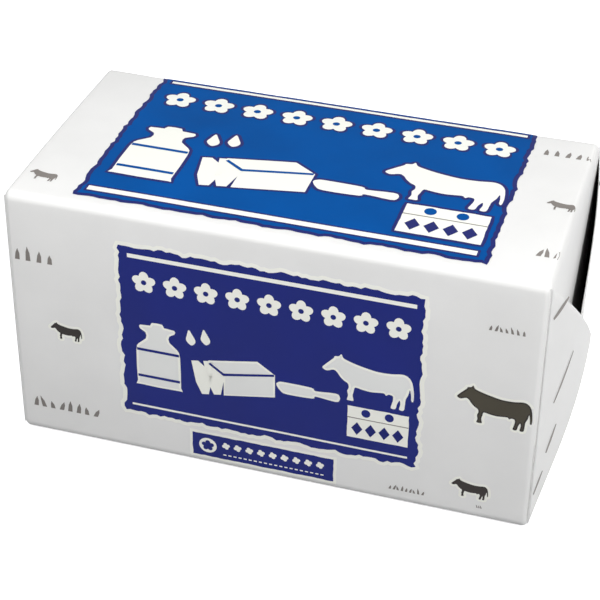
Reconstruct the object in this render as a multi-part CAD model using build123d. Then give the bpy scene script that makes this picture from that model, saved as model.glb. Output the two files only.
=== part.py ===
from build123d import *
import os

# A block of butter wrapped in paper, shut at both ends with an envelope fold.
#
# Frame: millimetres, origin under the middle of the block on the surface that it
# rests on, +X along the block, +Y from the front panel to the back panel, +Z up.
#
# The block and its wrapper are one solid. At each end the top and bottom flaps are
# folded flat first. Then the front and back ears, which are triangles with folds
# at 45 degrees, close over them, and stand a little open because nothing holds
# them down.

# ---- driving dimensions ---------------------------------------------------------

BODY_LENGTH = 119.0         # between the two end planes, without the open ears
BODY_DEPTH = 62.0           # front panel to back panel
BODY_HEIGHT = 64.5          # underside to top panel

PANEL_CROWN = 0.45          # how far the front, back and top panels belly out
LONG_EDGE_RADIUS = 2.5      # rounding of the four edges along the block
END_EDGE_RADIUS = 1.5       # rounding of the rim round each end

FLAP_STEP = 0.35            # the top flap stands this far above the bottom flap
FLAP_OVERLAP = 9.0          # how far the top flap reaches past mid-height

SEAM_STEP = 0.25            # depth of the lap seam along the underside
SEAM_INSET = 13.0           # the lap seam's distance from the back panel

EAR_THICKNESS = 0.7         # folded layers of paper in an ear
EAR_TIP_WIDTH = 2.0         # the blunt point where the two 45 degree folds meet
EAR_BOW = 0.70              # share of its stand-off that an ear has at half reach
FRONT_EAR_OPEN = 6.0        # how far the tip of a front ear stands off the end
BACK_EAR_OPEN_RIGHT = 3.2   # the same for the back ear at the +X end
BACK_EAR_OPEN_LEFT = 2.4    # the same for the back ear at the -X end

CUT_MARGIN = 1.0            # how far a cutting solid runs past what it cuts

# ---- worked-out places ----------------------------------------------------------

END_X = BODY_LENGTH / 2
FRONT_Y = -BODY_DEPTH / 2
BACK_Y = BODY_DEPTH / 2


def bellied_section() -> Sketch:
    """The section across the block: flat underside, crowned front, back and top."""
    side = BODY_DEPTH / 2 - PANEL_CROWN
    shoulder = BODY_HEIGHT - PANEL_CROWN
    mid_height = shoulder / 2
    outline = Wire([
        Line((-side, 0), (side, 0)),
        ThreePointArc((side, 0), (BACK_Y, mid_height), (side, shoulder)),
        ThreePointArc((side, shoulder), (0, BODY_HEIGHT), (-side, shoulder)),
        ThreePointArc((-side, shoulder), (FRONT_Y, mid_height), (-side, 0)),
    ])
    section = Sketch() + Face(outline)
    return fillet(section.vertices(), LONG_EDGE_RADIUS)


def rounded_body() -> Part:
    """The section drawn out along X, with the rim of each end rounded."""
    section = Plane.YZ * bellied_section()
    body = extrude(section, amount=END_X, both=True)
    ends = body.faces().filter_by(Axis.X)
    return fillet(ends.edges(), END_EDGE_RADIUS)


def flap_relief(end: int) -> Part:
    """What is taken off an end (+1 or -1) below the lower edge of its top flap."""
    top_flap_edge = BODY_HEIGHT / 2 - FLAP_OVERLAP
    slab = Box(
        FLAP_STEP + CUT_MARGIN,
        BODY_DEPTH + 2 * CUT_MARGIN,
        top_flap_edge + CUT_MARGIN,
        align=(Align.MIN, Align.CENTER, Align.MAX),
    )
    slab = Pos(END_X - FLAP_STEP, 0, top_flap_edge) * slab
    return slab if end > 0 else mirror(slab, Plane.YZ)


def seam_relief() -> Part:
    """What is taken off the underside behind the edge of the lap seam."""
    strip = Box(
        BODY_LENGTH + 2 * CUT_MARGIN,
        SEAM_INSET + CUT_MARGIN,
        SEAM_STEP + CUT_MARGIN,
        align=(Align.CENTER, Align.MIN, Align.MAX),
    )
    return Pos(0, BACK_Y - SEAM_INSET, SEAM_STEP) * strip


def front_ear(open_by: float) -> Part:
    """The front ear of the +X end, a bowed triangle with its tip open_by off the end."""
    hinge_y = FRONT_Y + END_EDGE_RADIUS
    reach = (BODY_HEIGHT - EAR_TIP_WIDTH) / 2 - END_EDGE_RADIUS
    tip_y = hinge_y + reach

    outer = ThreePointArc(
        (END_X, hinge_y),
        (END_X + EAR_BOW * open_by, hinge_y + reach / 2),
        (END_X + open_by, tip_y),
    )
    inner = Pos(-EAR_THICKNESS, 0) * outer
    root = Line(outer @ 0, inner @ 0)
    tip = Line(outer @ 1, inner @ 1)
    bowed_plate = extrude(Face(Wire([outer, tip, inner, root])), amount=BODY_HEIGHT)

    low, high = END_EDGE_RADIUS, BODY_HEIGHT - END_EDGE_RADIUS
    middle, half_tip = BODY_HEIGHT / 2, EAR_TIP_WIDTH / 2
    triangle = Plane.YZ * Polygon(
        (hinge_y, low), (tip_y, middle - half_tip), (tip_y, middle + half_tip), (hinge_y, high),
        align=None,
    )
    prism = extrude(triangle, amount=END_X + open_by + CUT_MARGIN)
    return bowed_plate & prism


def ears() -> list[Part]:
    """The four ears, each on the vertical edge that it folds in from."""
    front_right = front_ear(FRONT_EAR_OPEN)
    return [
        front_right,
        mirror(front_right, Plane.YZ),
        mirror(front_ear(BACK_EAR_OPEN_RIGHT), Plane.XZ),
        mirror(mirror(front_ear(BACK_EAR_OPEN_LEFT), Plane.XZ), Plane.YZ),
    ]


def wrapped_block() -> Part:
    """The block in its wrapper as one solid."""
    block = rounded_body() - flap_relief(+1) - flap_relief(-1) - seam_relief()
    for ear in ears():
        block += ear
    return block


os.makedirs("parts", exist_ok=True)
export_step(wrapped_block(), "parts/wrapped_block.step")
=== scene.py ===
import logging
import math
import random
from dataclasses import dataclass, field
from enum import Enum
from itertools import product

import bpy
import numpy as np
from mathutils import Matrix, Vector
from mathutils.geometry import delaunay_2d_cdt


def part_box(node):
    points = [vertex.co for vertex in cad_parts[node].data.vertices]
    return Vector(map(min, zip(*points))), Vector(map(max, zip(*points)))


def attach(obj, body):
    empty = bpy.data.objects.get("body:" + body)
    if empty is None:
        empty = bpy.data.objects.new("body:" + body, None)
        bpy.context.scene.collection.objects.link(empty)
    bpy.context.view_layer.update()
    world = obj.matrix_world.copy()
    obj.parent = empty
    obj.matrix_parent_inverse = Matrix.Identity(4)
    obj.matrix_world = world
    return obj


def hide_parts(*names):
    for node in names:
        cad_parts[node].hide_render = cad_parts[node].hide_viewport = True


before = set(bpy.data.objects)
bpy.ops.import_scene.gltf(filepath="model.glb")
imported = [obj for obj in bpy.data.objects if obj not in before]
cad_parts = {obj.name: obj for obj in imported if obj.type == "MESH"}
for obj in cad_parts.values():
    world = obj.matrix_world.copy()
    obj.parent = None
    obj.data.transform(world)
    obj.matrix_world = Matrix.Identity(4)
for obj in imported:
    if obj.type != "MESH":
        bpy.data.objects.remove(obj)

LOG = logging.getLogger("butter_block")
NODE = "wrapped_block"
BODY = "root"
MM = 0.001
NO_GAP = 1e-7
Points = list[tuple[float, float]]
Place = tuple[float, float, float]
Socket = bpy.types.NodeSocket
Value = bpy.types.NodeSocket | float


class Panel(Enum):
    """The sides of the block that carry films."""

    FRONT = "front"
    TOP = "top"
    BACK = "back"
    RIGHT_END = "right_end"
    UNDER = "under"


class Slot(Enum):
    """The material slots."""

    WRAPPER = "wrapper"
    PRINT = "print"


def linked(name: str, data: bpy.types.ID) -> bpy.types.Object:
    """Put a new object with this data into the scene.

    Args:
        name: The object's name.
        data: Its mesh, camera or lamp.

    Returns:
        The object.
    """
    made = bpy.data.objects.new(name, data)
    bpy.context.collection.objects.link(made)
    return made


def keep(piece: bpy.types.Object) -> None:
    """Tie a finished piece to the block's body, hide the imported block and log the piece's name.

    Args:
        piece: The piece.
    """
    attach(piece, BODY)
    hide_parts(NODE)
    LOG.info("made %s", piece.name)


# ---- finishes, with painted shade and painted sheen among them ----


@dataclass(frozen=True)
class Finish:
    """A coated paper, an ink on it or a near-black painted shade: mottled colour, fine fibre relief, soft
    gloss.
    """

    name: str
    colour: Place
    mottle: float = 0.03
    roughness: float = 0.42
    fibre: float = 0.06
    gloss: float = 0.4
    clouds: tuple[float, float] = (60.0, 5.0)
    fibres: tuple[float, float] = (1400.0, 3.0)
    fibre_height: float = 0.1 * MM
    wear: tuple[float, float] = (-0.05, 0.08)

    def material(self) -> bpy.types.Material:
        """The finish as a material, made once.

        Returns:
            The material with this finish's name.
        """
        return bpy.data.materials.get(self.name) or self._build()

    def _build(self) -> bpy.types.Material:
        """Make the node tree: cloudy tone, fibre bump and uneven gloss.

        Returns:
            The new material.
        """
        made = bpy.data.materials.new(self.name)
        made.use_nodes = True
        nodes, links = made.node_tree.nodes, made.node_tree.links
        shader = nodes["Principled BSDF"]

        cloud = self._noise(made.node_tree, *self.clouds)
        tone = nodes.new("ShaderNodeValToRGB")
        for element, share, place in zip(tone.color_ramp.elements, (-self.mottle, self.mottle), (0.3, 0.7)):
            element.color = (*(min(1.0, c * (1 + share)) for c in self.colour), 1.0)
            element.position = place
        links.new(cloud, tone.inputs["Fac"])
        links.new(tone.outputs["Color"], shader.inputs["Base Color"])

        bump = nodes.new("ShaderNodeBump")
        bump.inputs["Strength"].default_value = self.fibre
        bump.inputs["Distance"].default_value = self.fibre_height
        links.new(self._noise(made.node_tree, *self.fibres), bump.inputs["Height"])
        links.new(bump.outputs["Normal"], shader.inputs["Normal"])

        worn = nodes.new("ShaderNodeMapRange")
        for label, change in zip(("To Min", "To Max"), self.wear):
            worn.inputs[label].default_value = self.roughness + change
        links.new(cloud, worn.inputs["Value"])
        links.new(worn.outputs["Result"], shader.inputs["Roughness"])
        shader.inputs["Specular IOR Level"].default_value = self.gloss
        return made

    @staticmethod
    def _noise(tree: bpy.types.NodeTree, scale: float, detail: float) -> Socket:
        """Add a noise that is fixed to the object.

        Args:
            tree: The material's node tree.
            scale: Clouds to the metre.
            detail: How many finer layers it has.

        Returns:
            The noise's value.
        """
        place = tree.nodes.new("ShaderNodeTexCoord")
        noise = tree.nodes.new("ShaderNodeTexNoise")
        noise.inputs["Scale"].default_value = scale
        noise.inputs["Detail"].default_value = detail
        tree.links.new(place.outputs["Object"], noise.inputs["Vector"])
        return noise.outputs["Fac"]


PAPER = Finish("white_coated_paper", (0.80, 0.795, 0.78))
# Near-black painted shade: stands in for the deep shadow in the gap under the back ear of the right end.
GAP_SHADE = Finish("painted_shade_inner_fold", (0.004, 0.004, 0.005), gloss=0.05, roughness=0.9)
NAVY = Finish("navy_ink", (0.010, 0.018, 0.165), mottle=0.06, roughness=0.38, gloss=0.12)
KEYLINE = Finish("dark_navy_ink", (0.007, 0.012, 0.13), mottle=0.04, roughness=0.38, gloss=0.12)
# Blue ink of the top: lighter and bluer than the front's navy, partly the ink's colour and partly painted
# sheen from the light above.
AZURE_WITH_PAINTED_SHEEN = Finish("azure_ink_and_painted_sheen", (0.001, 0.076, 0.31), mottle=0.10, roughness=0.5, gloss=0.03)
RIM_WHITE = Finish("cream_white_ink", (0.90, 0.90, 0.83), mottle=0.01)
SOFT_WHITE = Finish("grey_white_ink", (0.78, 0.785, 0.765), mottle=0.02)
CHARCOAL = Finish("charcoal_ink", (0.035, 0.030, 0.028), mottle=0.10, gloss=0.12)
OLIVE = Finish("warm_black_ink", (0.062, 0.055, 0.040), mottle=0.15, gloss=0.12)
WARM_GREY = Finish("warm_grey_ink", (0.19, 0.17, 0.155), mottle=0.20)


# ---- node trees ----


class TreeMaker:
    """Builds a Geometry Nodes tree step by step."""

    def __init__(self, name: str, inputs: list[tuple[str, str]]) -> None:
        """Start a tree.

        Args:
            name: The tree's name.
            inputs: Each named input and its socket kind.
        """
        self.tree = bpy.data.node_groups.new(name, "GeometryNodeTree")
        for label, kind in inputs:
            self.tree.interface.new_socket(label, in_out="INPUT", socket_type=kind)
        self.tree.interface.new_socket("Geometry", in_out="OUTPUT", socket_type="NodeSocketGeometry")
        self.start = self.tree.nodes.new("NodeGroupInput")
        self.end = self.tree.nodes.new("NodeGroupOutput")

    def node(self, kind: str, links: dict | None = None, **settings: str) -> bpy.types.Node:
        """Add a node.

        Args:
            kind: The node's type.
            links: Input index or name to an output socket or a plain value.
            **settings: Attributes to set before linking.

        Returns:
            The new node.
        """
        made = self.tree.nodes.new(kind)
        for key, value in settings.items():
            setattr(made, key, value)
        for key, value in (links or {}).items():
            if isinstance(value, bpy.types.NodeSocket):
                self.tree.links.new(value, made.inputs[key])
            else:
                made.inputs[key].default_value = value
        return made

    def math(self, operation: str, *values: Value) -> Socket:
        """A Math node on sockets or numbers; returns its value."""
        return self.node("ShaderNodeMath", dict(enumerate(values)), operation=operation).outputs[0]

    def vector(self, operation: str, *values: Socket) -> Socket:
        """A Vector Math node on sockets or vectors; returns its vector."""
        return self.node("ShaderNodeVectorMath", dict(enumerate(values)), operation=operation).outputs[0]

    def scaled(self, vector: Socket, by: Value) -> Socket:
        """A vector times a number or a value socket."""
        return self.node("ShaderNodeVectorMath", {0: vector, "Scale": by}, operation="SCALE").outputs[0]

    def joined(self, x: Value, y: Value, z: Value) -> Socket:
        """A vector from three values."""
        return self.node("ShaderNodeCombineXYZ", {0: x, 1: y, 2: z}).outputs[0]

    def parts(self, vector: Socket) -> bpy.types.bpy_prop_collection:
        """The x, y and z of a vector."""
        return self.node("ShaderNodeSeparateXYZ", {0: vector}).outputs


@dataclass(frozen=True)
class BlockShape:
    """The sizes of the closed block, in metres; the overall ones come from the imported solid."""

    ear_open: float = 6.0 * MM
    long_radius: float = 2.5 * MM
    end_radius: float = 1.5 * MM
    crown: float = 0.45 * MM
    relief: float = 0.22 * MM
    flap_step: float = 0.2 * MM
    flap_overlap: float = 9.0 * MM
    seam_step: float = 0.2 * MM
    seam_inset: float = 13.0 * MM
    half_length: float = field(init=False)
    half_depth: float = field(init=False)
    height: float = field(init=False)

    def __post_init__(self) -> None:
        """Take the three overall sizes from the frame."""
        _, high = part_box(NODE)
        object.__setattr__(self, "half_length", high.x - self.ear_open)
        object.__setattr__(self, "half_depth", high.y)
        object.__setattr__(self, "height", high.z)

    def on_panel(self, panel: Panel, a: float, b: float) -> Place:
        """A point of the square-edged block.

        Args:
            panel: The side.
            a: Distance to the right of the side's middle, seen from outside.
            b: Height above the underside; on the top, back from the middle, and on the underside forwards.

        Returns:
            The point in the block's frame.
        """
        return {
            Panel.FRONT: (a, -self.half_depth, b),
            Panel.TOP: (a, b, self.height),
            Panel.BACK: (-a, self.half_depth, b),
            Panel.RIGHT_END: (self.half_length, a, b),
            Panel.UNDER: (a, -b, 0.0),
        }[panel]


class WrapRule:
    """The rule that rounds, crowns and softly dents whatever lies on the square block."""

    FLAT_END = 2.0 * MM
    SOFT_FROM = 14.0 * MM
    DENTS = {"Scale": 38.0, "Detail": 2.0}
    SIZES = ("Half Length", "Half Depth", "Height", "Long Radius", "End Radius", "Crown", "Relief")
    INPUTS = [
        ("Geometry", "NodeSocketGeometry"), *((label, "NodeSocketFloat") for label in SIZES),
        ("Lift", "NodeSocketFloat"), ("Finish", "NodeSocketMaterial"),
    ]
    ROW_INPUTS = [
        ("Motif", "NodeSocketObject"), ("Count", "NodeSocketInt"),
        ("Start", "NodeSocketVector"), ("Pitch", "NodeSocketVector"),
    ]

    def __init__(self, shape: BlockShape) -> None:
        """Build the plain tree and the one that stamps a row first.

        Args:
            shape: The block's sizes.
        """
        self.shape = shape
        self.plain = self._build("wrap_rule", with_row=False)
        self.row = self._build("row_on_wrap", with_row=True)

    def _build(self, name: str, with_row: bool) -> bpy.types.NodeTree:
        """Make one tree.

        Args:
            name: The tree's name.
            with_row: Whether a motif is first repeated along a line.

        Returns:
            The tree.
        """
        make = TreeMaker(name, self.INPUTS + (self.ROW_INPUTS if with_row else []))
        given = make.start.outputs
        geometry = self._row(make) if with_row else given["Geometry"]
        half_height = make.math("MULTIPLY", given["Height"], 0.5)
        middle = make.joined(0.0, 0.0, half_height)
        half = make.joined(given["Half Length"], given["Half Depth"], half_height)
        radius = make.joined(given["End Radius"], given["Long Radius"], given["Long Radius"])
        place = make.vector("SUBTRACT", make.node("GeometryNodeInputPosition").outputs[0], middle)

        inner = make.vector("SUBTRACT", half, radius)
        core = make.vector("MINIMUM", make.vector("MAXIMUM", place, make.scaled(inner, -1.0)), inner)
        past = make.vector("SUBTRACT", place, core)
        outward = make.vector("NORMALIZE", make.vector("DIVIDE", past, radius))
        rounded = make.vector("ADD", core, make.vector("MULTIPLY", outward, radius))

        at, facing = make.parts(rounded), make.parts(outward)
        along_z = make.math("DIVIDE", at[2], half_height)
        along_y = make.math("DIVIDE", at[1], given["Half Depth"])
        side_in = make.math("MULTIPLY", make.math("MULTIPLY", along_z, along_z), given["Crown"])
        top_in = make.math("MULTIPLY", make.math("MULTIPLY", along_y, along_y), given["Crown"])
        upward = make.math("MAXIMUM", facing[2], 0.0)
        crowned = make.vector("SUBTRACT", rounded, make.joined(
            0.0, make.math("MULTIPLY", facing[1], side_in), make.math("MULTIPLY", upward, top_in)))

        end_gap = make.math("SUBTRACT", given["Half Length"], make.math("ABSOLUTE", at[0]))
        fade = make.node("ShaderNodeMapRange", {"Value": end_gap, 1: self.FLAT_END, 2: self.SOFT_FROM},
                         interpolation_type="SMOOTHSTEP").outputs[0]
        downward = make.math("MAXIMUM", make.math("MULTIPLY", facing[2], -1.0), 0.0)
        not_under = make.math("SUBTRACT", 1.0, downward)
        dents = make.node("ShaderNodeTexNoise", {"Vector": crowned, **self.DENTS}).outputs[0]
        depth = make.math("MULTIPLY", make.math("MULTIPLY", dents, given["Relief"]),
                          make.math("MULTIPLY", fade, not_under))
        shift = make.math("SUBTRACT", given["Lift"], depth)
        moved = make.vector("ADD", make.vector("ADD", crowned, make.scaled(outward, shift)), middle)
        placed = make.node("GeometryNodeSetPosition", {"Geometry": geometry, "Position": moved})
        smooth = make.node("GeometryNodeSetShadeSmooth", {0: placed.outputs[0]})
        real = make.node("GeometryNodeRealizeInstances", {0: smooth.outputs[0]})
        dressed = make.node("GeometryNodeSetMaterial", {0: real.outputs[0], "Material": given["Finish"]})
        make.tree.links.new(dressed.outputs[0], make.end.inputs[0])
        return make.tree

    @staticmethod
    def _row(make: TreeMaker) -> Socket:
        """Repeat the motif object along a line.

        Args:
            make: The tree in the making, with the row's inputs.

        Returns:
            The realized geometry.
        """
        given = make.start.outputs
        line = make.node("GeometryNodeMeshLine", {
            "Count": given["Count"], "Start Location": given["Start"], "Offset": given["Pitch"],
        })
        motif = make.node("GeometryNodeObjectInfo", {"Object": given["Motif"]})
        stamped = make.node("GeometryNodeInstanceOnPoints", {
            "Points": line.outputs[0], "Instance": motif.outputs["Geometry"],
        })
        return make.node("GeometryNodeRealizeInstances", {0: stamped.outputs[0]}).outputs[0]

    def apply(self, name: str, mesh: bpy.types.Mesh, finish: Finish, lift: float,
              row: dict | None = None) -> bpy.types.Object:
        """Run the rule on a mesh that lies on the square block.

        Args:
            name: The piece's name.
            mesh: The mesh, or the motif when a row is given.
            finish: What it is dressed in.
            lift: How far it stands off the paper, in metres.
            row: Count, Start and Pitch of a row of the motif, or None.

        Returns:
            The piece with a plain mesh.
        """
        piece = linked(name, mesh)
        tree = self.row if row else self.plain
        modifier = piece.modifiers.new("wrap", "NODES")
        modifier.node_group = tree
        values = {label: getattr(self.shape, label.lower().replace(" ", "_")) for label in self.SIZES}
        values.update({"Lift": lift, "Finish": finish.material()})
        motif = None
        if row:
            motif = bpy.data.objects.new(name + "_motif", mesh)
            values.update({"Motif": motif, **row})
        for item in tree.interface.items_tree:
            if item.in_out == "INPUT" and item.name in values:
                modifier[item.identifier] = values[item.name]
        graph = bpy.context.evaluated_depsgraph_get()
        made = bpy.data.meshes.new_from_object(piece.evaluated_get(graph))
        made.name = name
        piece.modifiers.clear()
        piece.data = made
        if motif:
            bpy.data.objects.remove(motif)
        return piece


def mesh_of(name: str, points: np.ndarray, faces: list, finish: Finish | None = None) -> bpy.types.Mesh:
    """A smooth mesh from points and faces.

    Args:
        name: The mesh's name.
        points: One row for each vertex, in metres.
        faces: Lists of vertex numbers.
        finish: What it is dressed in, if known yet.

    Returns:
        The mesh.
    """
    mesh = bpy.data.meshes.new(name)
    mesh.from_pydata([tuple(map(float, p)) for p in points], [], [tuple(map(int, f)) for f in faces])
    if finish:
        mesh.materials.append(finish.material())
    mesh.shade_smooth()
    mesh.update()
    return mesh


# ---- outlines, in millimetres ----


class Outlines:
    """Plain shapes for the print, each a closed list of points in millimetres."""

    COW_LENGTH = 19.8
    NICK = 0.9
    COW = [
        (0.0, 7.4), (0.3, 6.9), (1.1, 6.7), (2.4, 7.2), (3.2, 6.7), (3.9, 5.7), (4.7, 4.9),
        (5.6, 4.3), (5.8, 3.3), (5.5, 2.4), (5.7, 1.3), (5.5, 0.3), (5.6, 0.0), (6.8, 0.0), (6.9, 0.4),
        (6.7, 1.4), (6.9, 2.5), (7.2, 3.6), (8.6, 3.4), (10.5, 3.2), (12.3, 3.4), (13.4, 3.5),
        (13.9, 3.0), (14.4, 3.4), (15.3, 3.2), (15.4, 2.2), (15.2, 1.2), (15.0, 0.0), (16.0, 0.0),
        (16.3, 1.3), (16.8, 2.4), (17.0, 1.4), (16.8, 0.0), (17.8, 0.0), (18.0, 1.5), (18.1, 2.9),
        (18.6, 4.2), (18.9, 5.6), (19.2, 4.2), (19.3, 2.9), (19.7, 2.7), (19.8, 4.2), (19.6, 6.2),
        (19.2, 7.8), (18.3, 8.9), (17.0, 9.2), (14.8, 8.8), (12.0, 8.7), (9.4, 9.1), (7.2, 9.6),
        (5.6, 10.1), (4.5, 10.6), (4.0, 11.5), (3.5, 10.9), (2.6, 10.7), (2.4, 10.2), (1.5, 9.2),
        (0.6, 8.2),
    ]
    CHURN = [
        (-4.6, 0.0), (4.6, 0.0), (5.0, 0.9), (5.0, 9.0), (4.4, 11.0), (2.7, 12.6), (2.7, 14.2),
        (3.9, 15.0), (3.9, 16.0), (1.6, 16.2), (1.2, 17.0), (-1.2, 17.0), (-1.6, 16.2),
        (-3.9, 16.0), (-3.9, 15.0), (-2.7, 14.2), (-2.7, 12.6), (-4.4, 11.0), (-5.0, 9.0), (-5.0, 0.9),
    ]
    KNIFE = [
        (0.0, 2.2), (0.9, 0.7), (2.4, 0.0), (8.3, 0.2), (9.0, 0.9), (13.4, 0.5), (14.4, 1.1),
        (14.4, 2.2), (13.4, 2.8), (9.0, 2.4), (8.0, 3.1), (2.0, 3.2), (0.6, 3.0),
    ]

    @staticmethod
    def curved(points: Points, steps: int = 3) -> Points:
        """Round a closed outline through its points.

        Args:
            points: The corners.
            steps: New points for each stretch.

        Returns:
            The rounder outline.
        """
        made = []
        count = len(points)
        for i in range(count):
            p0, p1, p2, p3 = (np.array(points[(i + k) % count]) for k in (-1, 0, 1, 2))
            for j in range(steps):
                t = j / steps
                spline = 2 * p1 + (p2 - p0) * t + (2 * p0 - 5 * p1 + 4 * p2 - p3) * t**2
                made.append(tuple(0.5 * (spline + (3 * p1 - p0 - 3 * p2 + p3) * t**3)))
        return made

    @staticmethod
    def moved(points: Points, x: float, y: float, size: float = 1.0, tall: float = 1.0) -> Points:
        """An outline scaled by size and set down at x, y."""
        return [(x + p * size, y + q * size * tall) for p, q in points]

    @staticmethod
    def grown(points: Points, by: float) -> Points:
        """An outline pushed outwards along its own normals.

        Args:
            points: A closed outline, anticlockwise.
            by: The distance; below zero it shrinks.

        Returns:
            The new outline.
        """
        shape = np.array(points)
        ahead, behind = np.roll(shape, -1, 0) - shape, shape - np.roll(shape, 1, 0)
        ahead /= np.maximum(np.linalg.norm(ahead, axis=1, keepdims=True), 1e-6)
        behind /= np.maximum(np.linalg.norm(behind, axis=1, keepdims=True), 1e-6)
        run = ahead + behind
        run /= np.maximum(np.linalg.norm(run, axis=1, keepdims=True), 0.5)
        area = np.sum(shape[:, 0] * np.roll(shape[:, 1], -1) - shape[:, 1] * np.roll(shape[:, 0], -1))
        out = np.stack([run[:, 1], -run[:, 0]], 1) * (1 if area > 0 else -1)
        return [tuple(p) for p in shape + out * by]

    @staticmethod
    def box(x0: float, y0: float, x1: float, y1: float, rough: float = 0.0, seed: int = 1) -> Points:
        """A rectangle with hand-cut edges.

        Args:
            x0: Left edge.
            y0: Lower edge.
            x1: Right edge.
            y1: Upper edge.
            rough: How far the edges wander.
            seed: Fixes the wandering.

        Returns:
            The outline, anticlockwise.
        """
        corners = [(x0, y0), (x1, y0), (x1, y1), (x0, y1)]
        if not rough:
            return corners
        draw = random.Random(seed)
        made: Points = []
        for (ax, ay), (bx, by) in zip(corners, corners[1:] + corners[:1]):
            length = math.hypot(bx - ax, by - ay)
            count = max(2, int(length / Outlines.NICK))
            nx, ny = (by - ay) / length, (ax - bx) / length
            wave, phase = draw.uniform(7.0, 10.0), draw.uniform(0, 6)
            for i in range(count):
                t = i / count
                off = 0.0
                if i:
                    slow = 0.5 * math.sin(t * length / wave * 2 * math.pi + phase)
                    off = rough * (slow + draw.uniform(-0.7, 0.7))
                made.append((ax + (bx - ax) * t + nx * off, ay + (by - ay) * t + ny * off))
        return made

    @staticmethod
    def petals(radius: float, count: int = 5, depth: float = 0.32, steps: int = 40) -> Points:
        """A flower outline with round petals, about its own middle.

        Args:
            radius: From the middle to a petal's tip.
            count: How many petals.
            depth: How far the notches go in, as a share of the radius.
            steps: Points round the flower.

        Returns:
            The outline.
        """
        lean = 0.31
        turns = [2 * math.pi * i / steps for i in range(steps)]
        radii = [radius * (1 - depth + depth * abs(math.cos(t * count / 2))) for t in turns]
        return [(r * math.cos(t + lean), r * math.sin(t + lean)) for t, r in zip(turns, radii)]

    @staticmethod
    def oval(rx: float, ry: float, steps: int = 20) -> Points:
        """An oval about its own middle."""
        turns = [2 * math.pi * i / steps for i in range(steps)]
        return [(rx * math.cos(t), ry * math.sin(t)) for t in turns]

    @staticmethod
    def blades(width: float, height: float, seed: int) -> list[Points]:
        """A tuft of grass blades in a row.

        Args:
            width: Length of the row.
            height: Height of the tallest blade.
            seed: Fixes their lean and height.

        Returns:
            One outline for each blade.
        """
        draw = random.Random(seed)
        count = max(3, round(width / (height * 0.5)))
        made = []
        for i in range(count):
            x = width * i / (count - 1)
            tall, lean = height * draw.uniform(0.55, 1.0), height * draw.uniform(-0.35, 0.35)
            thick = height * 0.15
            made.append([(x - thick, 0.0), (x + thick, 0.0), (x + lean * 0.5 + thick * 0.9, tall * 0.55),
                         (x + lean, tall), (x + lean * 0.5 - thick * 0.7, tall * 0.6)])
        return made


class FlatPrint:
    """Fills outlines with triangles on a side of the square block."""

    SPACING = 1.3
    FIRST_IN = 0.4
    MERGE = 1e-5

    def __init__(self, shape: BlockShape) -> None:
        """Keep the block's sizes."""
        self.shape = shape

    def triangles(self, outlines: list[Points]) -> tuple[list, list]:
        """Triangles that fill outlines and follow a curved panel closely.

        Args:
            outlines: Closed outlines in millimetres that don't overlap.

        Returns:
            The flat points and the faces.
        """
        points, faces = [], []
        for outline in outlines:
            dense: Points = []
            for (ax, ay), (bx, by) in zip(outline, outline[1:] + outline[:1]):
                cuts = max(1, int(math.hypot(bx - ax, by - ay) / self.SPACING))
                dense += [(ax + (bx - ax) * i / cuts, ay + (by - ay) * i / cuts) for i in range(cuts)]
            low, high = np.min(dense, 0), np.max(dense, 0)
            across, upward = (np.arange(low[k] + self.FIRST_IN, high[k], self.SPACING) for k in (0, 1))
            grid = [Vector(p) for p in product(across, upward)]
            ring = [Vector(p) for p in dense]
            found = delaunay_2d_cdt(ring + grid, [], [list(range(len(ring)))], 1, self.MERGE)
            base = len(points)
            points += [tuple(p) for p in found[0]]
            faces += [[base + i for i in face] for face in found[2]]
        return points, faces

    def mesh(self, name: str, panel: Panel, outlines: list[Points]) -> bpy.types.Mesh:
        """The filled outlines as a mesh on a side, facing outwards.

        Args:
            name: The mesh's name.
            panel: The side.
            outlines: Closed outlines in millimetres.

        Returns:
            The mesh.
        """
        points, faces = self.triangles(outlines)
        placed = np.array([self.shape.on_panel(panel, x * MM, y * MM) for x, y in points])
        return mesh_of(name, placed, faces)


# ---- the paper ----


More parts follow.
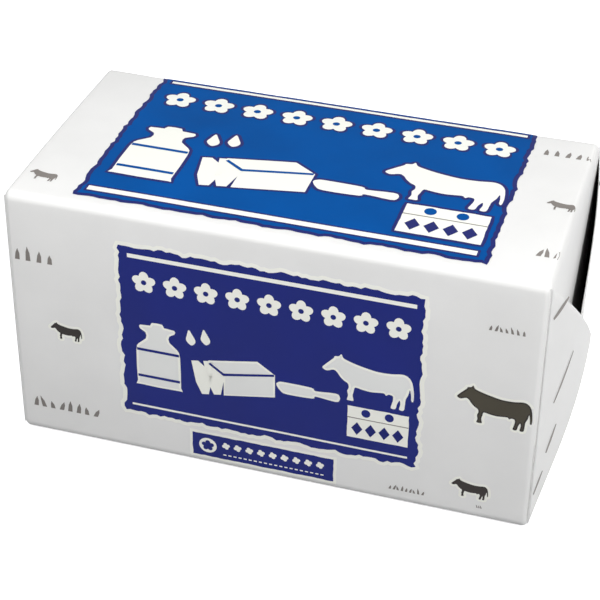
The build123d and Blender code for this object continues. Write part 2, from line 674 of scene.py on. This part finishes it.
@dataclass
class Wrapper:
    """The paper round the block, with its end flaps and the lap seam underneath."""

    shape: BlockShape
    rule: WrapRule
    step: float = 1.3 * MM
    rim_cuts: int = 6
    half_step_run: float = 0.04 * MM

    def lines(self, low: float, high: float, radius: float, extra: tuple[float, ...] = ()) -> np.ndarray:
        """Places of grid lines from low to high, close together where the edge is rounded.

        Args:
            low: First line.
            high: Last line.
            radius: The rounding at both ends.
            extra: Lines wanted in pairs, such as at a step in the paper.

        Returns:
            The sorted places.
        """
        turns = np.tan(np.linspace(0, math.pi / 4, self.rim_cuts + 1)) * radius
        inner = np.linspace(low + radius, high - radius, int((high - low) / self.step))
        pairs = [place + side * self.half_step_run for place in extra for side in (-1, 1)]
        places = np.concatenate([high - radius + turns, low + radius - turns, inner, pairs])
        return np.unique(np.round(places, 8))

    def square_block(self) -> tuple[np.ndarray, list]:
        """The six faces of the square block as one closed net of quads.

        Returns:
            The points and the faces.
        """
        shape = self.shape
        xs = self.lines(-shape.half_length, shape.half_length, shape.end_radius)
        seam = shape.half_depth - shape.seam_inset
        ys = self.lines(-shape.half_depth, shape.half_depth, shape.long_radius, (seam,))
        flap = shape.height / 2 - shape.flap_overlap
        zs = self.lines(0.0, shape.height, shape.long_radius, (flap,))
        lines = (xs, ys, zs)
        index: dict[tuple[int, int, int], int] = {}
        points: list[Place] = []

        def number(key: tuple[int, int, int]) -> int:
            """Number the point on three grid lines.

            Args:
                key: The line's number along each axis.

            Returns:
                The point's number.
            """
            if key not in index:
                index[key] = len(points)
                points.append(tuple(lines[k][key[k]] for k in range(3)))
            return index[key]

        faces = []
        for axis in range(3):
            u, v = (axis + 1) % 3, (axis + 2) % 3
            spans = [range(len(lines[k]) - 1) for k in (u, v)]
            for side, i, j in product((0, len(lines[axis]) - 1), *spans):
                ring = []
                for di, dj in ((0, 0), (1, 0), (1, 1), (0, 1)):
                    key = [0, 0, 0]
                    key[axis], key[u], key[v] = side, i + di, j + dj
                    ring.append(number(tuple(key)))
                faces.append(ring if side else ring[::-1])
        return np.array(points), faces

    def build(self) -> None:
        """Make the paper as one closed piece, with its steps at the flaps and the seam."""
        shape = self.shape
        points, faces = self.square_block()
        mesh = mesh_of("wrapper_paper", points, faces)
        piece = self.rule.apply("wrapper_paper", mesh, PAPER, 0.0)
        places = np.array([v.co for v in piece.data.vertices])
        on_end = np.abs(points[:, 0]) > shape.half_length - 1e-7
        lower = points[:, 2] < shape.height / 2 - shape.flap_overlap
        inside = (np.abs(points[:, 1]) < shape.half_depth - NO_GAP) & (points[:, 2] > NO_GAP)
        stepped = on_end & lower & inside
        places[stepped, 0] -= np.sign(points[stepped, 0]) * shape.flap_step
        under = (points[:, 2] < NO_GAP) & (points[:, 1] > shape.half_depth - shape.seam_inset)
        places[under, 2] += shape.seam_step
        piece.data.vertices.foreach_set("co", places.astype(np.float32).ravel())
        piece.data.update()
        keep(piece)


@dataclass
class Ear:
    """A folded side ear: a bowed paper triangle hinged on a vertical edge of an end."""

    shape: BlockShape
    name: str
    end: int
    side: int
    open_by: float
    thickness: float = 0.35 * MM
    tip_width: float = 2.2 * MM
    twist: float = 0.33
    painted_shade_inside: bool = False
    fullness: float = 0.985
    ripple: float = 0.12 * MM
    ripple_run: float = 9.0 * MM
    tuck: float = 0.012 * MM
    rows: int = 36
    cuts: int = 30
    rim_cuts: int = 4

    @property
    def reach(self) -> float:
        """How far the ear reaches from its hinge."""
        return self.shape.height / 2 - self.tip_width / 2 - self.shape.end_radius

    def stand_off(self, t: float, z: float) -> float:
        """How far the outer face stands off the end; a little below it at the hinge.

        Args:
            t: Distance from the hinge.
            z: Height above the underside.

        Returns:
            The distance along X.
        """
        share = min(max(t / self.reach, 0.0), 1.0)
        bow = 2 * share - share * share
        lean = (z / self.shape.height - 0.5) * 2 * self.twist * (1 - share)
        ripple = self.ripple * math.sin(z / self.ripple_run + self.side) * share * (1 - share) * 4
        return self.open_by * bow * (1 + lean) * self.fullness + ripple - self.tuck * (1 - share)

    def place(self, t: float, z: float, inward: float = 0.0) -> Place:
        """A point on the ear, which leaves the rounded edge along its slope.

        Args:
            t: Distance from the hinge.
            z: Height above the underside.
            inward: Depth below the outer face.

        Returns:
            The point in the block's frame.
        """
        shape, radius = self.shape, self.shape.end_radius
        share = (z - shape.height / 2) / (shape.height / 2)
        leave = math.atan(2 * self.open_by * self.fullness * (1 + share * self.twist) / self.reach)
        x = shape.half_length - radius * (1 - math.cos(leave)) + self.stand_off(t, z) - inward
        root = shape.half_depth - radius * (1 - math.sin(leave))
        y = root - math.sin(leave) * shape.crown * share * share - t
        return (self.end * x, self.side * y, z)

    def rings(self) -> list[list[Place]]:
        """Closed rings round the ear, from its hinge to its blunt tip.

        Returns:
            For each ring: the outer face upwards, the upper rim, the inner face, the lower rim.
        """
        shape, half = self.shape, self.thickness / 2
        rim = [math.pi * k / self.rim_cuts for k in range(1, self.rim_cuts)]
        made = []
        for row in range(self.rows + 1):
            t = self.reach * row / self.rows
            low, high = shape.end_radius + t, shape.height - shape.end_radius - t
            heights = [low + (high - low) * i / self.cuts for i in range(self.cuts + 1)]
            ring = [self.place(t, z) for z in heights]
            ring += [self.place(t, high + half * math.sin(a), half * (1 - math.cos(a))) for a in rim]
            ring += [self.place(t, z, self.thickness) for z in heights[::-1]]
            ring += [self.place(t, low - half * math.sin(a), half * (1 - math.cos(a))) for a in rim[::-1]]
            made.append(ring)
        return made

    def build(self) -> None:
        """Make the ear as a closed thin piece, its hidden side in near-black painted shade where asked."""
        rings = self.rings()
        size = len(rings[0])
        points = np.array([p for ring in rings for p in ring])
        faces, inner = [], []
        for start in range(0, self.rows * size, size):
            for i in range(size):
                j = (i + 1) % size
                faces.append([start + i, start + j, start + size + j, start + size + i])
                inner.append(self.cuts + self.rim_cuts <= i <= 2 * self.cuts + self.rim_cuts)
        faces.append(list(range(size)))
        faces.append([self.rows * size + i for i in range(size)][::-1])
        inner += [True, False]
        if self.end * self.side > 0:
            faces = [face[::-1] for face in faces]
        mesh = mesh_of(self.name, points, faces, PAPER)
        for cap in (-2, -1):
            mesh.polygons[len(faces) + cap].use_smooth = False
        # The second material is near-black painted shade; it stands in for the shadow in the gap under the
        # ear.
        mesh.materials.append(GAP_SHADE.material())
        if self.painted_shade_inside:
            mesh.polygons.foreach_set("material_index", [int(hidden) for hidden in inner])
        keep(linked(self.name, mesh))


# ---- the print ----


@dataclass
class PanelPrint:
    """The printed field of a panel: rules, a row of flowers, churn, butter, knife, cow, label."""

    rule: WrapRule
    panel: Panel
    field_ink: Finish
    middle: tuple[float, float]
    size: float
    tall: float = 1.0
    seed: int = 3
    edge_ink: Finish | None = None
    rim: float = 1.0
    lift: float = 0.03 * MM

    @property
    def base(self) -> int:
        """How many films lie beneath the white shapes."""
        return 5 if self.edge_ink else 4

    def layer(self, name: str, outlines: list[Points], ink: Finish, level: int) -> None:
        """Print outlines in the field's own frame.

        Args:
            name: What the layer shows.
            outlines: Closed outlines about the field's middle.
            ink: The finish.
            level: How many films lie beneath it.
        """
        u, v = self.middle
        placed = [Outlines.moved(o, u, v, self.size, self.tall) for o in outlines]
        title = f"print_{self.panel.value}_{name}"
        mesh = FlatPrint(self.rule.shape).mesh(title, self.panel, placed)
        keep(self.rule.apply(title, mesh, ink, self.lift * level))

    def stamp(self, name: str, motif: Points, start: tuple[float, float], pitch: float, count: int,
              ink: Finish, level: int) -> None:
        """Print a motif several times along a row, by the row tree.

        Args:
            name: What the row shows.
            motif: The outline about its own middle.
            start: The first one's place in the field's frame.
            pitch: The distance from one to the next.
            count: How many there are.
            ink: The finish.
            level: How many films lie beneath it.
        """
        shape = self.rule.shape
        u, v = self.middle
        title = f"print_{self.panel.value}_{name}"
        flat = FlatPrint(shape).mesh(title, self.panel, [Outlines.moved(motif, 0, 0, self.size, self.tall)])
        origin = Vector(shape.on_panel(self.panel, 0.0, 0.0))
        flat.transform(Matrix.Translation(-origin))
        x = (u + start[0] * self.size) * MM
        y = (v + start[1] * self.size * self.tall) * MM
        first = Vector(shape.on_panel(self.panel, x, y))
        second = Vector(shape.on_panel(self.panel, x + pitch * self.size * MM, y))
        row = {"Count": count, "Start": first, "Pitch": second - first}
        keep(self.rule.apply(title, flat, ink, self.lift * level, row))

    def white(self, name: str, outline: Points, core: float = 0.55) -> None:
        """Print a white shape, with a dark keyline on the azure field or a greyer core on navy.

        Args:
            name: What it shows.
            outline: Its outline about the field's middle.
            core: How far in the greyer core begins; none at nought.
        """
        if self.edge_ink:
            self.layer(name + "_keyline", [Outlines.grown(outline, 0.58)], self.edge_ink, self.base - 1)
        self.layer(name, [outline], RIM_WHITE, self.base)
        if core and not self.edge_ink:
            self.layer(name + "_core", [Outlines.grown(outline, -core)], SOFT_WHITE, self.base + 1)

    def build(self) -> None:
        """Print the whole panel, from the field up."""
        cut = Outlines
        wide, high, nick = 33.6, 22.1, 0.30 if self.edge_ink else 0.42
        ground = cut.box(-wide, -high, wide, high, nick, self.seed)
        if self.rim:
            self.layer("rim", [cut.grown(ground, self.rim)], RIM_WHITE, 1)
        if self.edge_ink:
            self.layer("border", [ground], self.edge_ink, 2)
            self.layer("field", [cut.grown(ground, -0.75)], self.field_ink, 3)
        else:
            self.layer("field", [ground], self.field_ink, 2)
        thin, thick = (0.75, 1.25) if self.edge_ink else (1.0, 0.55)
        self.white("upper_rule", cut.box(-31.6, 19.4, 32.0, 19.4 + thin), 0)
        self.white("lower_rule", cut.box(-32.0, -20.2, 31.6, -20.2 + thick), 0)
        self.flowers()
        self.churn()
        self.butter()
        self.white("knife", cut.moved(cut.curved(cut.KNIFE), 1.9, -8.9, 0.99))
        self.white("cow", cut.moved(cut.curved(cut.COW), 12.2, -7.2, 1.02))
        self.label()

    def flowers(self) -> None:
        """Nine small flowers in a row, with hearts in the field's ink."""
        cut, row = Outlines, ((-28.0, 13.6), 7.05, 9)
        if self.edge_ink:
            self.stamp("flower_keylines", cut.petals(3.3), *row, self.edge_ink, self.base - 1)
        self.stamp("flowers", cut.petals(2.75), *row, RIM_WHITE, self.base)
        self.stamp("flower_hearts", cut.oval(0.62, 0.62, 14), *row, self.field_ink, self.base + 1)

    def churn(self) -> None:
        """A milk churn with two bands and two drops beside it."""
        cut, foot = Outlines, -13.9
        self.white("churn", cut.moved(cut.curved(cut.CHURN, 2), -25.3, foot, 1.02))
        bands = [cut.box(-30.2, foot + z, -20.4, foot + z + 0.7) for z in (2.2, 9.4)]
        self.layer("churn_bands", bands, self.field_ink, self.base + 2)
        drop = [(0.0, 0.0), (0.9, 0.5), (1.15, 1.5), (0.4, 3.0), (-0.4, 4.2), (-0.9, 2.6), (-1.1, 1.2)]
        for number, x in enumerate((-17.6, -14.2)):
            self.white(f"drop_{number}", cut.moved(cut.curved(drop), x, -0.6 + number * 0.8, 0.95), 0)

    def butter(self) -> None:
        """A cut block of butter: two slices leaning in front of the rest."""
        rest = [(-10.2, -12.6), (1.6, -10.4), (1.6, -4.4), (-2.4, -1.6), (-13.6, -3.8), (-13.6, -4.4),
                (-10.2, -6.9)]
        part = [(-14.9, -13.4), (-13.3, -13.1), (-12.2, -7.3), (-15.6, -4.4), (-17.2, -4.7), (-16.2, -10.4)]
        self.white("butter", rest)
        for number, (x, y) in enumerate(((2.4, 0.5), (-0.4, 0.0))):
            self.white(f"slice_{number}", Outlines.moved(part, x, y), 0)
        edge = [(-13.2, -4.3), (-10.1, -6.5), (1.4, -4.2), (1.4, -4.8), (-10.2, -7.2), (-13.6, -4.7)]
        self.layer("butter_edge", [edge], self.field_ink, self.base + 2)

    def label(self) -> None:
        """A small white label with a dividing line, two ovals and four diamonds."""
        cut, (x0, y0, x1, y1) = Outlines, (18.0, -17.1, 31.6, -8.6)
        self.white("label", cut.box(x0, y0, x1, y1, 0.06, self.seed + 1), 0)
        split = y0 + 5.3
        self.layer("label_line", [cut.box(x0, split, x1, split + 0.22)], WARM_GREY, self.base + 1)
        ovals, diamonds = (x0 + 4.1, split + 1.8), (x0 + 2.2, y0 + 2.6)
        self.stamp("label_ovals", cut.oval(1.0, 1.05), ovals, 5.2, 2, self.field_ink, self.base + 1)
        diamond = [(0.0, -1.75), (1.25, 0.0), (0.0, 1.75), (-1.25, 0.0)]
        self.stamp("label_diamonds", diamond, diamonds, 3.05, 4, KEYLINE, self.base + 1)


@dataclass
class MakerBar:
    """The small navy bar at the foot of the front, with a plain ring, dots and a dashed line."""

    rule: WrapRule

    def build(self) -> None:
        """Print the bar and what is on it."""
        cut, ring = Outlines, ((-12.9, 0.0), 1.0, 1)
        page = PanelPrint(self.rule, Panel.FRONT, NAVY, (-1.0, 5.9), 1.0)
        page.layer("bar_rim", [cut.box(-17.2, -3.9, 17.2, 3.9, 0.1, 8)], RIM_WHITE, 1)
        page.layer("bar", [cut.box(-16.5, -3.2, 16.5, 3.2, 0.08, 9)], NAVY, 2)
        page.stamp("bar_ring", cut.oval(2.1, 2.1, 24), *ring, RIM_WHITE, 3)
        page.stamp("bar_ring_heart", cut.petals(1.5), *ring, NAVY, 4)
        page.stamp("bar_dots", cut.petals(0.95, 4), (-8.6, 0.75), 2.75, 9, RIM_WHITE, 3)
        page.stamp("bar_dashes", cut.box(-0.35, -0.16, 0.35, 0.16), (-8.9, -1.9), 1.2, 20, RIM_WHITE, 3)


@dataclass
class MarginMarks:
    """Small cows and grass tufts scattered over the plain paper."""

    rule: WrapRule

    def cow(self, name: str, panel: Panel, x: float, y: float, width: float, ink: Finish,
            core: Finish | None = None, halo: bool = True) -> None:
        """Print one cow.

        Args:
            name: The mark's name.
            panel: The side it is on.
            x: Its left end, in millimetres.
            y: The height of its feet.
            width: Its length.
            ink: The finish.
            core: A second ink inside, or None.
            halo: Whether white underprint shows round it.
        """
        outline = Outlines.moved(Outlines.curved(Outlines.COW), x, y, width / Outlines.COW_LENGTH)
        page = PanelPrint(self.rule, panel, ink, (0.0, 0.0), 1.0)
        if halo:
            page.layer(name + "_halo", [Outlines.grown(outline, 0.6)], RIM_WHITE, 1)
        page.layer(name, [outline], ink, 2)
        if core:
            page.layer(name + "_core", [Outlines.grown(outline, -0.35)], core, 3)

    def tuft(self, name: str, panel: Panel, x: float, y: float, width: float, height: float,
             seed: int) -> None:
        """Print one row of grass blades whose left foot is at x, y."""
        page = PanelPrint(self.rule, panel, WARM_GREY, (x, y), 1.0)
        page.layer(name, Outlines.blades(width, height, seed), WARM_GREY, 1)

    def build(self) -> None:
        """Print every mark."""
        front, top, back, under = Panel.FRONT, Panel.TOP, Panel.BACK, Panel.UNDER
        self.cow("cow_left", front, -50.3, 28.2, 7.4, CHARCOAL)
        self.cow("cow_large", front, 42.0, 27.2, 16.2, CHARCOAL, OLIVE)
        self.cow("cow_foot", front, 42.1, 6.2, 8.2, CHARCOAL)
        self.tuft("tuft_high", front, -57.0, 47.6, 7.6, 3.8, 11)
        self.tuft("tuft_low", front, -55.6, 7.6, 14.6, 3.6, 12)
        self.tuft("tuft_right", front, 47.8, 51.2, 7.0, 1.9, 13)
        self.tuft("tuft_foot", front, 28.4, 4.0, 7.4, 1.7, 14)
        self.tuft("tuft_speck", front, 48.1, 3.6, 0.9, 0.9, 15)
        self.cow("cow_corner", top, -57.0, -23.6, 6.6, WARM_GREY, halo=False)
        self.cow("cow_edge", top, 52.6, -2.2, 6.3, WARM_GREY, halo=False)
        self.tuft("tuft_back", top, 48.6, 20.6, 9.6, 3.6, 16)
        self.tuft("tuft_near", top, 54.6, -20.6, 3.6, 3.4, 17)
        underside = ((-44.0, 8.0, -8.0), (-8.0, -1.0, 8.0), (29.0, 8.0, -8.0))
        for number, (x, cow_y, tuft_y) in enumerate(underside):
            self.cow(f"cow_{number}", under, x, cow_y, 11.0, CHARCOAL, halo=False)
            self.tuft(f"tuft_{number}", under, x + 17.0, tuft_y, 9.0, 3.0, 30 + number)
        for number, x in enumerate((-52.0, 42.5)):
            self.cow(f"cow_{number}", back, x, 20.0 + 18.0 * number, 9.0 + 4 * number, CHARCOAL)
            self.tuft(f"tuft_{number}", back, x, 46.0 - 36.0 * number, 9.0, 3.0, 20 + number)


@dataclass
class EarMarks:
    """Strokes of grass print on an ear: hinge distance and height of both ends, and width."""

    ear: Ear
    lift: float = 0.05 * MM
    cuts: int = 10
    blunt: float = 0.35
    strokes: tuple[tuple[float, ...], ...] = (
        (1.6, 55.0, 6.6, 57.6, 1.3), (5.6, 31.0, 13.0, 40.0, 0.9),
        (4.8, 18.0, 8.2, 23.6, 1.1), (1.0, 9.0, 4.2, 13.4, 1.0),
    )

    def stroke(self, start: np.ndarray, run: np.ndarray, width: float) -> list[Place]:
        """The two edges of a stroke, widest in its middle.

        Args:
            start: Its low end, as distance from the hinge and height, in millimetres.
            run: From there to its high end.
            width: Its greatest width.

        Returns:
            Points in pairs, along the stroke.
        """
        across = np.array([-run[1], run[0]]) / np.linalg.norm(run) * width / 2
        made = []
        for share in (i / self.cuts for i in range(self.cuts + 1)):
            swell = self.blunt + (1 - self.blunt) * math.sin(math.pi * (0.12 + 0.8 * share))
            for edge in (-1, 1):
                t, z = start + run * share + across * edge * swell
                made.append(self.ear.place(t * MM, z * MM, -self.lift))
        return made

    def build(self) -> None:
        """Print every stroke as one film."""
        points, faces = [], []
        for t0, z0, t1, z1, width in self.strokes:
            first = len(points)
            points += self.stroke(np.array([t0, z0]), np.array([t1 - t0, z1 - z0]), width)
            faces += [[i, i + 2, i + 3, i + 1] for i in range(first, len(points) - 2, 2)]
        if self.ear.end * self.ear.side > 0:
            faces = [face[::-1] for face in faces]
        title = "print_" + self.ear.name
        keep(linked(title, mesh_of(title, np.array(points), faces, WARM_GREY)))


@dataclass
class GapShade:
    """A near-black film on the end face: painted shade in the gap beside the back ear of the right end."""

    rule: WrapRule
    inset: float = 0.4
    start: float = 4.0
    finish: float = 47.0
    width: float = 4.6
    lift: float = 0.03 * MM

    def build(self) -> None:
        """Lay the film, which widens downwards."""
        shape = self.rule.shape
        edge, top = shape.half_depth / MM - self.inset, shape.height / MM
        foot = top - self.finish
        outline = [(edge, top - self.start), (edge - self.width, foot), (edge, foot)]
        mesh = FlatPrint(shape).mesh("gap_shade", Panel.RIGHT_END, [outline])
        keep(self.rule.apply("gap_shade", mesh, GAP_SHADE, self.lift))


# ---- studio ----


@dataclass
class Studio:
    """Camera, lamps, floor and background."""

    camera_at: Place = (96.2 * MM, -329.2 * MM, 264.8 * MM)
    azimuth: float = 16.6
    elevation: float = 33.63
    roll: float = 0.65
    lens: float = 108.6
    shift_up: float = -0.05
    shift_right: float = 0.0005
    sensor: float = 36.0
    clip: tuple[float, float] = (0.01, 20.0)
    floor_half: float = 3.0
    floor_drop: float = 0.12 * MM

    def build(self) -> None:
        """Set up everything round the object."""
        self.camera()
        self.floor()
        self.world()
        self.lamp("key_above", (0.05, 0.10, 0.62), (0.0, 0.0, 0.03), 0.55, 1.05)
        self.lamp("front_fill", (-0.08, -0.24, 0.26), (0.0, -0.02, 0.04), 0.2, 0.58)
        self.lamp("right_fill", (0.40, -0.20, 0.30), (0.03, 0.0, 0.04), 0.25, 1.6)
        bpy.context.scene.view_settings.view_transform = "Standard"

    def camera(self) -> None:
        """Make the camera."""
        data = bpy.data.cameras.new("camera")
        data.lens, data.sensor_width = self.lens, self.sensor
        data.shift_x, data.shift_y = self.shift_right, self.shift_up
        data.clip_start, data.clip_end = self.clip
        camera = linked("camera", data)
        a, e, r = (math.radians(v) for v in (self.azimuth, self.elevation, self.roll))
        back = Vector((math.sin(a) * math.cos(e), -math.cos(a) * math.cos(e), math.sin(e)))
        level = Vector((math.cos(a), math.sin(a), 0.0))
        upright = back.cross(level)
        right = level * math.cos(r) + upright * math.sin(r)
        up = upright * math.cos(r) - level * math.sin(r)
        turn = Matrix((right, up, back)).transposed().to_4x4()
        camera.matrix_world = Matrix.Translation(Vector(self.camera_at)) @ turn
        bpy.context.scene.camera = camera

    @staticmethod
    def lamp(name: str, at: Place, aim: Place, size: float, power: float) -> None:
        """Make one soft square lamp.

        Args:
            name: The lamp's name.
            at: Its place, in metres.
            aim: The point that it faces.
            size: Its side.
            power: Watts.
        """
        data = bpy.data.lights.new(name, "AREA")
        data.size, data.energy = size, power
        lamp = linked(name, data)
        lamp.location = at
        lamp.rotation_euler = (Vector(aim) - Vector(at)).to_track_quat("-Z", "Y").to_euler()

    def floor(self) -> None:
        """Make the floor: pale and faintly glowing to the camera, dark grey to the object."""
        half = self.floor_half
        corners = np.array([(-half, -half, 0), (half, -half, 0), (half, half, 0), (-half, half, 0)])
        mesh = mesh_of("floor", corners, [[0, 1, 2, 3]])
        made = bpy.data.materials.new("pale_floor")
        made.use_nodes = True
        tree = made.node_tree
        tree.nodes.clear()
        white = self.shader(tree, "ShaderNodeBsdfDiffuse", (0.96, 0.96, 0.96))
        glow = self.shader(tree, "ShaderNodeEmission", (1.0, 1.0, 1.0), 0.62)
        both = tree.nodes.new("ShaderNodeAddShader")
        tree.links.new(white, both.inputs[0])
        tree.links.new(glow, both.inputs[1])
        grey = self.shader(tree, "ShaderNodeBsdfDiffuse", (0.11, 0.112, 0.12))
        self.seen_or_not(tree, both.outputs[0], grey, "ShaderNodeOutputMaterial")
        mesh.materials.append(made)
        floor = linked("floor", mesh)
        floor.location.z = -self.floor_drop

    def world(self) -> None:
        """A white background over soft grey ambient light."""
        made = bpy.data.worlds.new("studio")
        bpy.context.scene.world = made
        made.use_nodes = True
        tree = made.node_tree
        tree.nodes.clear()
        shown = self.shader(tree, "ShaderNodeBackground", (1.0, 1.0, 1.0), 1.0)
        ambient = self.shader(tree, "ShaderNodeBackground", (0.95, 0.97, 1.0), 0.30)
        self.seen_or_not(tree, shown, ambient, "ShaderNodeOutputWorld")

    @staticmethod
    def shader(tree: bpy.types.NodeTree, kind: str, colour: Place, strength: float | None = None) -> Socket:
        """Add a plain shader.

        Args:
            tree: The node tree.
            kind: The shader node's type.
            colour: Its colour.
            strength: Its strength, where it has one.

        Returns:
            The shader's output.
        """
        made = tree.nodes.new(kind)
        made.inputs["Color"].default_value = (*colour, 1.0)
        if strength is not None:
            made.inputs["Strength"].default_value = strength
        return made.outputs[0]

    @staticmethod
    def seen_or_not(tree: bpy.types.NodeTree, seen: Socket, unseen: Socket, output: str) -> None:
        """Finish a tree with one shader for looking and another for the light that it gives.

        Args:
            tree: The node tree.
            seen: The shader where the camera, a gloss or a clear part looks.
            unseen: The shader for other light.
            output: The output node's type.
        """
        path = tree.nodes.new("ShaderNodeLightPath")
        looks = path.outputs["Is Camera Ray"]
        for kind in ("Is Glossy Ray", "Is Transmission Ray"):
            either = tree.nodes.new("ShaderNodeMath")
            either.operation = "MAXIMUM"
            tree.links.new(looks, either.inputs[0])
            tree.links.new(path.outputs[kind], either.inputs[1])
            looks = either.outputs[0]
        mix, out = tree.nodes.new("ShaderNodeMixShader"), tree.nodes.new(output)
        for number, source in enumerate((looks, unseen, seen)):
            tree.links.new(source, mix.inputs[number])
        tree.links.new(mix.outputs[0], out.inputs[0])


def main() -> None:
    """Build the block in order and report each stage."""
    logging.basicConfig(level=logging.INFO, format="%(name)s: %(message)s")
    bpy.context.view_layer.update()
    shape = BlockShape()
    rule = WrapRule(shape)
    Studio().build()
    Wrapper(shape, rule).build()
    ears = [
        Ear(shape, "ear_front_right", 1, -1, 5.9 * MM),
        # The back right ear's hidden side is painted in near-black shade.
        Ear(shape, "ear_back_right", 1, 1, 3.1 * MM, painted_shade_inside=True),
        Ear(shape, "ear_front_left", -1, -1, 5.9 * MM),
        Ear(shape, "ear_back_left", -1, 1, 2.4 * MM),
    ]
    for ear in ears:
        ear.build()
    # Painted shade on the right end face, in the gap beside the back ear.
    GapShade(rule).build()
    PanelPrint(rule, Panel.FRONT, NAVY, (0.4, 33.8), 1.0).build()
    PanelPrint(rule, Panel.BACK, NAVY, (0.0, 33.8), 1.0, seed=5).build()
    # The top's azure field carries painted sheen as well as the ink's colour.
    PanelPrint(rule, Panel.TOP, AZURE_WITH_PAINTED_SHEEN, (0.3, 1.9), 1.34, 0.965, 4, KEYLINE, 0.0).build()
    MakerBar(rule).build()
    MarginMarks(rule).build()
    for ear in ears:
        EarMarks(ear).build()
    LOG.info("block, ears and print are done")


if __name__ == "__main__":
    main()
